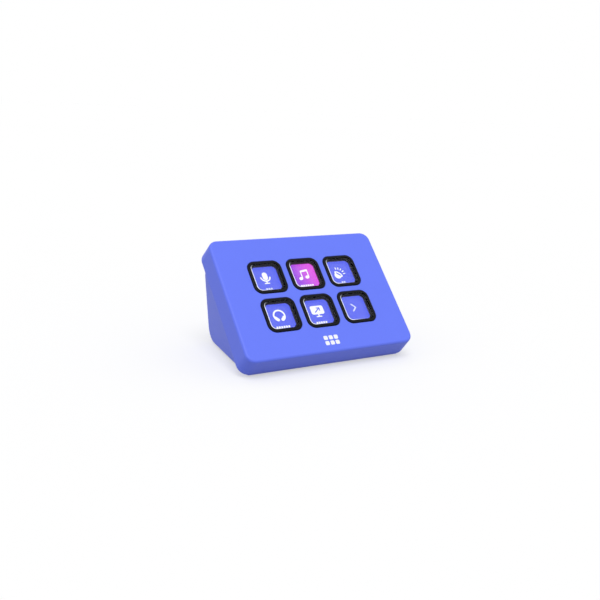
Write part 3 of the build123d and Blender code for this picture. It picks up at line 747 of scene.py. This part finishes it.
class KEYPAD_OT_domes(bpy.types.Operator):
    """Part the silicone mat into its sheet and six domes"""

    bl_idname = "keypad.domes"
    bl_label = "Shape domes"

    foot = 0.02 * MM  # part of a dome's height that stays with the sheet
    flattened = 0.07  # share of a dome's height left under a pressed key

    def execute(self, context):
        sizes = context.scene.keypad_sizes
        silicone = soft_finish("dome_silicone", context.scene.keypad_colours.silicone)
        dress(silicone, "dome_mat")
        self.pitch = key_pitch()
        self.middles = {
            number: [middle(f"key_bezel_{number}", axis) for axis in (ACROSS, UPHILL)]
            for number in KEYS
        }
        level = reach("dome_mat", OUTWARD)[0] + sizes.mat_sheet + self.foot
        self.add(self.cut_mat(level, OUTWARD, KEYS), "dome_sheet", silicone)
        for number in KEYS:
            dome = self.add(self.cut_mat(level, -OUTWARD, [number]), f"dome_{number}", silicone)
            OUTWARD * level
            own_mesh(dome)
        return {"FINISHED"}

    def near(self, spot, number):
        """Whether a point is inside the cell of a key."""
        across, uphill = self.middles[number]
        off = max(abs(spot.dot(ACROSS) - across), abs(spot.dot(UPHILL) - uphill))
        return off < self.pitch / 2

    def cut_mat(self, level, side, numbers):
        """Copy of the mat without what is beyond a level on one side, closed at the cut."""
        mesh = bmesh.new()
        mesh.from_mesh(frame["nodes"]["dome_mat"].data)
        bmesh.ops.remove_doubles(mesh, verts=mesh.verts[:], dist=MERGE_REACH)
        bmesh.ops.bisect_plane(
            mesh,
            geom=[*mesh.verts, *mesh.edges, *mesh.faces],
            plane_co=OUTWARD * level,
            plane_no=side,
            clear_outer=True,
        )
        if len(numbers) == 1:
            away = [vert for vert in mesh.verts if not self.near(vert.co, numbers[0])]
            bmesh.ops.delete(mesh, geom=away, context="VERTS")
        for number in numbers:
            border = [edge for edge in mesh.edges if edge.is_boundary]
            rim = [edge for edge in border if self.near(edge.verts[0].co, number)]
            bmesh.ops.triangle_fill(mesh, edges=rim, use_beauty=True, normal=side)
        if any(not edge.is_manifold for edge in mesh.edges):
            raise RuntimeError("the dome mat isn't closed where it was cut")
        bmesh.ops.recalc_face_normals(mesh, faces=mesh.faces[:])
        return mesh

    def add(self, mesh, name, finish):
        """Makes a part of the mat a piece that stands for the mat."""
        piece = add_piece(name, mesh, BASE, finish)
        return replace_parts(piece, "dome_mat")


class KEYPAD_OT_socket(bpy.types.Operator):
    """Finish the USB socket and lay the contacts on both sides of its tongue"""

    bl_idname = "keypad.socket"
    bl_label = "Finish socket"

    # All in millimetres
    contact_shape = (0.26, 2.9, 0.11)  # width, length and corner
    contact_thickness = 0.03
    from_tip = 1.75  # middle of a contact to the tongue's tip
    tongue_half = 0.35  # half the tongue's thickness

    def execute(self, context):
        sizes = context.scene.keypad_sizes
        dress(metal_finish("socket_steel", (0.62, 0.62, 0.64, 1.0), 0.26), "usb_shell")
        dress(gloss_finish("tongue_black", (0.01, 0.01, 0.011, 1.0), 0.4), "usb_tongue")
        gold = metal_finish("contact_gold", (0.83, 0.58, 0.2, 1.0), 0.2)
        port = next(mount for mount in frame["record"]["mounts"] if mount["name"] == "usb_port")
        out = Vector(port["axis"]).normalized()
        up = ACROSS.cross(out)
        centre = Vector(port["pos_m"])
        tip = centre + out * (reach("usb_tongue", out)[1] - centre.dot(out))
        for side, name in ((1, "upper"), (-1, "lower")):
            drawing = Drawing()
            for number in range(sizes.contact_count):
                across = (number - (sizes.contact_count - 1) / 2) * sizes.contact_pitch / MM
                drawing.plate((across, -self.from_tip), *self.contact_shape)
            origin = tip + up * side * self.tongue_half * MM
            place = plane_place(ACROSS * side, out, up * side, origin)
            label = f"socket_contacts_{name}"
            drawing.finish(label, place, self.contact_thickness, BASE, gold, "socket_metal")
        return {"FINISHED"}


# ------------------------------------------------------------------ lit pictures
# Icons are drawn in millimetres from a point a little above the middle of their key


def microphone(drawing):
    """Capsule in its holder, on a short stand."""
    drawing.plate((0, 1.0), 2.5, 4.0, 1.24)
    drawing.arc((0, 0.75), 1.95, 2.6, 190, 160)
    drawing.plate((0, -2.1), 0.6, 0.9, 0.1)
    drawing.plate((0, -2.7), 2.6, 0.55, 0.2)


def beamed_notes(drawing):
    """Two notes under one beam."""
    drawing.disc((-1.75, -1.75), 1.05, 0.78, 20)
    drawing.disc((1.65, -1.2), 1.05, 0.78, 20)
    drawing.stroke((-0.95, -1.6), (-0.95, 1.9), 0.5)
    drawing.stroke((2.45, -1.05), (2.45, 2.4), 0.5)
    drawing.stroke((-0.8, 1.95), (2.3, 2.45), 0.95)


LAMP_MIDDLE = Vector((-0.95, -1.1))
LAMP_TURN = -40
LAMP_BEAM = LAMP_TURN + 90


def shining_lamp(drawing):
    """Tilted lamp bowl with rays over its opening."""
    drawing.disc(LAMP_MIDDLE, 2.2, 0.5, LAMP_TURN)
    drawing.disc(LAMP_MIDDLE - heading(LAMP_BEAM) * 0.85, 1.75)
    for off_beam in (-48, -24, 0, 24, 48):
        ray = heading(LAMP_BEAM + off_beam)
        drawing.stroke(LAMP_MIDDLE + ray * 2.75, LAMP_MIDDLE + ray * 3.5, 0.5)


def lamp_opening(drawing):
    """Opening that shows through the lamp."""
    drawing.disc(LAMP_MIDDLE, 1.5, 0.26, LAMP_TURN)


def headphones(drawing):
    """Band with two ear cups."""
    drawing.arc((0, 0), 2.25, 3.0, -44, 268)
    drawing.arc((0, 0), 1.5, 3.0, 206, 34)
    drawing.arc((0, 0), 1.5, 3.0, -60, 34)


def screen(drawing):
    """Screen on its stand."""
    drawing.plate((0, 0.75), 6.5, 4.3, 0.9)
    drawing.plate((0, -1.9), 0.7, 1.1, 0.1)
    drawing.plate((0, -2.55), 2.9, 0.5, 0.2)


def screen_arrow(drawing):
    """Arrow that shows through the screen."""
    drawing.stroke((-1.2, -0.3), (1.1, 1.6), 0.5)
    drawing.stroke((-0.1, 1.75), (1.2, 1.75), 0.5)
    drawing.stroke((1.25, 1.7), (1.25, 0.4), 0.5)


def chevron(drawing):
    """Sign for the next page."""
    drawing.stroke((-0.9, 1.75), (0.85, 0.0), 0.62)
    drawing.stroke((0.85, 0.0), (-0.9, -1.75), 0.62)


class KEYPAD_OT_pictures(bpy.types.Operator):
    """Lay a lit picture on the display under each key, with its icon and a row of marks"""

    bl_idname = "keypad.pictures"
    bl_label = "Light key pictures"

    # All in millimetres, the lifts from the display's glass
    tile_lift = 0.01
    icon_lift = 0.03
    cut_out_lift = 0.05
    sheet = 0.016  # thickness of every shape
    mark_pitch = 1.15
    mark_shape = (0.8, 0.95, 0.25)  # width, height and corner

    icons = (microphone, beamed_notes, shining_lamp, headphones, screen, chevron)
    marks = (3, 6, 2, 6, 5, 0)  # in the row under each icon
    short_row = 3  # up to this many marks are quieter

    def execute(self, context):
        colours = context.scene.keypad_colours
        sizes = context.scene.keypad_sizes
        plain = lit_finish("lit_tile", colours.tile)
        white = lit_finish("lit_icon", colours.icon, strength=1.05)
        quiet = lit_finish("lit_quiet", colours.quiet_icon)
        accent_middle = key_place(ACCENT_KEY, 0).translation
        accent = lit_finish("lit_accent", colours.accent_low, colours.accent_high, accent_middle)
        for number, icon, count in zip(KEYS, self.icons, self.marks):
            self.lay_tile(sizes, number, accent if number == ACCENT_KEY else plain)
            tone = quiet if icon is chevron else white
            self.draw_icon(sizes, number, icon, tone, self.icon_lift)
            if count:
                tone = white if count > self.short_row else quiet
                self.lay_marks(sizes, number, count, tone)
        self.draw_icon(sizes, 5, screen_arrow, plain, self.cut_out_lift)
        self.draw_icon(sizes, 3, lamp_opening, plain, self.cut_out_lift)
        return {"FINISHED"}

    def lay_tile(self, sizes, number, finish):
        """Rounded square of light."""
        drawing = Drawing()
        side = sizes.tile_side / MM
        drawing.plate((0, 0), side, side, sizes.tile_corner / MM)
        place = key_place(number, self.tile_lift)
        drawing.finish(f"picture_{number}", place, self.sheet, BASE, finish, "display_glass")

    def draw_icon(self, sizes, number, shape, finish, lift):
        """One icon over its tile."""
        drawing = Drawing()
        shape(drawing)
        place = key_place(number, lift) @ Matrix.Translation((0, sizes.icon_rise / MM, 0))
        name = f"{shape.__name__}_{number}"
        drawing.finish(name, place, self.sheet, BASE, finish, "display_glass")

    def lay_marks(self, sizes, number, count, finish):
        """Row of small marks under the icon."""
        drawing = Drawing()
        for mark in range(count):
            across = (mark - (count - 1) / 2) * self.mark_pitch
            drawing.plate((across, -sizes.row_drop / MM), *self.mark_shape)
        place = key_place(number, self.icon_lift)
        drawing.finish(f"marks_{number}", place, self.sheet, BASE, finish, "display_glass")


# ------------------------------------------------------------------ printed mark


class KEYPAD_OT_mark(bpy.types.Operator):
    """Print the small grid mark on the face, under the keys"""

    bl_idname = "keypad.mark"
    bl_label = "Print mark"

    thickness = 0.012  # of the ink, in millimetres
    spacing = 1.3  # from cell to cell, in parts of a cell
    corner = 0.26  # in parts of a cell

    def execute(self, context):
        sizes = context.scene.keypad_sizes
        cell = sizes.mark_cell / MM
        pitch = cell * self.spacing
        drawing = Drawing()
        for column in (-1, 0, 1):
            for row in (-0.5, 0.5):
                drawing.plate((column * pitch, row * pitch), cell, cell, cell * self.corner)
        face_middle = (middle("key_bezel_1", UPHILL) + middle("key_bezel_6", UPHILL)) / 2
        level = reach("front_shell", OUTWARD)[1]
        place = face_place(0, face_middle - sizes.mark_drop, level)
        ink = print_finish(context.scene.keypad_colours.mark)
        drawing.finish("face_mark", place, self.thickness, BASE, ink, "housing")
        return {"FINISHED"}


# ------------------------------------------------------------------ studio


def seen_ray(made):
    """1 for what the camera sees itself, in gloss or through glass, and 0 for light on its way."""
    seen = made.node("ShaderNodeLightPath", output="Is Camera Ray")
    for name in ("Is Glossy Ray", "Is Transmission Ray"):
        seen = seen.math("MAXIMUM", seen, made.node("ShaderNodeLightPath", output=name))
    return seen


class KEYPAD_OT_studio(bpy.types.Operator):
    """Build the floor, the lights and the camera"""

    bl_idname = "keypad.studio"
    bl_label = "Build studio"

    floor_radius = 3.0  # metres
    view_middle = Vector((-1.633, 0.556, 23.915)) * MM  # what the camera points at
    key_direction = Vector((-0.22, -0.44, 0.87)).normalized()
    key_spread = radians(32)

    def execute(self, context):
        studio = context.scene.keypad_studio
        self.lay_floor(context, studio)
        self.fill_world(context, studio)
        self.hang_key_light(context, studio)
        self.place_camera(context, studio)
        context.scene.view_settings.view_transform = "Standard"
        return {"FINISHED"}

    def lay_floor(self, context, studio):
        """Pale floor that looks as white as its surroundings and keeps the keypad's shadow."""
        made = Finish("studio_floor")
        grey = studio.floor_grey
        lit = studio.ambient + studio.key_level * self.key_direction.z
        made.shade(
            base_color=made.tones((grey, grey, grey), 0.01, 0.4),
            roughness=1.0,
            specular_ior_level=0.0,
            emission_color=made.blend(seen_ray(made), BLACK, tint(WHITE, 1.0 - grey * lit)),
            emission_strength=1.0,
        )
        disc = bmesh.new()
        bmesh.ops.create_circle(
            disc, cap_ends=True, radius=self.floor_radius, segments=CIRCLE_STEPS
        )
        data = bpy.data.meshes.new("floor")
        disc.to_mesh(data)
        disc.free()
        data.materials.append(made.material)
        floor = bpy.data.objects.new("floor", data)
        context.scene.collection.objects.link(floor)

    def fill_world(self, context, studio):
        """White surroundings, dimmer as a light than as a background."""
        world = bpy.data.worlds.new("surroundings")
        made = Finish(world.name, world, "Background")
        lit = tint(WHITE, studio.ambient)
        made.shade(color=made.blend(seen_ray(made), lit, WHITE), strength=1.0)
        context.scene.world = world

    def hang_key_light(self, context, studio):
        """Broad distant light from above, in front and a little to the left."""
        lamp = bpy.data.lights.new("key_light", "SUN")
        lamp.angle = self.key_spread
        # At a strength of pi, a sun lights what faces it at level 1
        lamp.energy = studio.key_level * pi
        light = bpy.data.objects.new("key_light", lamp)
        light.matrix_world = self.key_direction.to_track_quat("Z", "Y").to_matrix().to_4x4()
        context.scene.collection.objects.link(light)

    def place_camera(self, context, studio):
        """Camera in front, to the left and a little above."""
        level = cos(studio.elevation)
        forward = Vector(
            (sin(studio.azimuth) * level, cos(studio.azimuth) * level, -sin(studio.elevation))
        )
        flat_right = Vector((cos(studio.azimuth), -sin(studio.azimuth), 0))
        right = Matrix.Rotation(-studio.roll, 3, forward) @ flat_right
        up = right.cross(forward)
        lens = bpy.data.cameras.new("camera")
        lens.sensor_width = 36.0
        lens.lens = studio.lens
        lens.clip_start = 10 * MM
        camera = bpy.data.objects.new("camera", lens)
        spot = Matrix.Translation(self.view_middle - forward * studio.distance)
        camera.matrix_world = spot @ Matrix((right, up, -forward)).transposed().to_4x4()
        context.scene.collection.objects.link(camera)
        context.scene.camera = camera


# ------------------------------------------------------------------ sidebar


class KEYPAD_PT_panel(bpy.types.Panel):
    """Settings of the keypad, and the steps that build it"""

    bl_idname = "KEYPAD_PT_panel"
    bl_label = "Display keypad"
    bl_space_type = "VIEW_3D"
    bl_region_type = "UI"
    bl_category = "Keypad"

    def draw(self, context):
        scene = context.scene
        for settings in (scene.keypad_colours, scene.keypad_sizes, scene.keypad_studio):
            box = self.layout.box()
            for name in settings.__annotations__:
                box.prop(settings, name)
        for step in STEPS:
            self.layout.operator(step.bl_idname)


SETTINGS = (KeypadColours, KeypadSizes, StudioSettings)
STEPS = (
    KEYPAD_OT_studio,
    KEYPAD_OT_housing,
    KEYPAD_OT_keys,
    KEYPAD_OT_inside,
    KEYPAD_OT_domes,
    KEYPAD_OT_socket,
    KEYPAD_OT_pictures,
    KEYPAD_OT_mark,
)


def register():
    for part in (*SETTINGS, *STEPS, KEYPAD_PT_panel):
        bpy.utils.register_class(part)
    bpy.types.Scene.keypad_colours = PointerProperty(type=KeypadColours)
    bpy.types.Scene.keypad_sizes = PointerProperty(type=KeypadSizes)
    bpy.types.Scene.keypad_studio = PointerProperty(type=StudioSettings)


def unregister():
    del bpy.types.Scene.keypad_studio
    del bpy.types.Scene.keypad_sizes
    del bpy.types.Scene.keypad_colours
    for part in reversed((*SETTINGS, *STEPS, KEYPAD_PT_panel)):
        bpy.utils.unregister_class(part)


def main():
    """Builds the whole keypad."""
    register()
    for step in STEPS:
        group, name = step.bl_idname.split(".")
        getattr(getattr(bpy.ops, group), name)()


if __name__ == "__main__":
    main()
